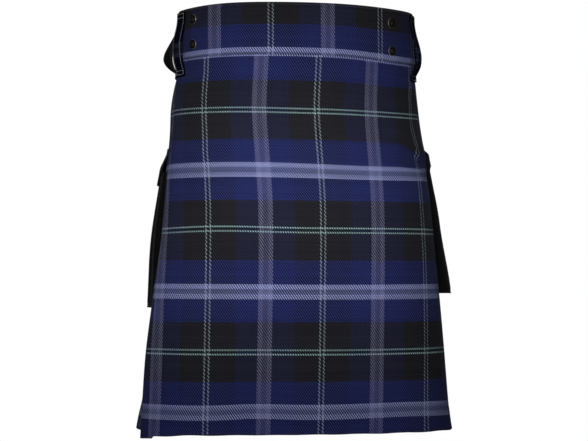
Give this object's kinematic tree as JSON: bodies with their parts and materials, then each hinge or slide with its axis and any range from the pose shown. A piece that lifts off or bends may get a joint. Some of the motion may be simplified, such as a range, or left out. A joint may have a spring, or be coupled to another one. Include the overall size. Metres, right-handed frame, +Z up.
{
  "type": "tartan kilt with hip pockets",
  "caption": "Knee-length wrap kilt in navy, black and lavender check, with flat front aprons, a knife-pleated back, belt loops and black hip pockets.",
  "frame": {"origin": "centre of the waist opening, half way up the waistband", "axes": "+Z up, the front of the kilt faces -Y, +X is the right hand of someone who looks at the front"},
  "size_m": [0.4627, 0.3155, 0.62],
  "materials": {
    "tartan_cloth": "matte twill weave",
    "black_cloth": "matte cotton twill",
    "snap_metal": "dark antique, satin"
  },
  "bodies": {
    "root": {"outer_apron": "tartan_cloth", "under_apron": "tartan_cloth", "pleated_back": "tartan_cloth", "waistband": "tartan_cloth", "belt_loop_front_left": "tartan_cloth", "belt_loop_front_right": "tartan_cloth", "belt_loop_side_right": "tartan_cloth", "belt_loop_back": "tartan_cloth", "belt_loop_side_left": "black_cloth", "pocket_left": "black_cloth", "pocket_flap_left": "black_cloth", "pocket_right": "black_cloth", "pocket_flap_right": "black_cloth", "snap_left_upper": "snap_metal", "snap_left_lower": "snap_metal", "snap_right_upper": "snap_metal", "snap_right_lower": "snap_metal"}
  },
  "joints": []
}
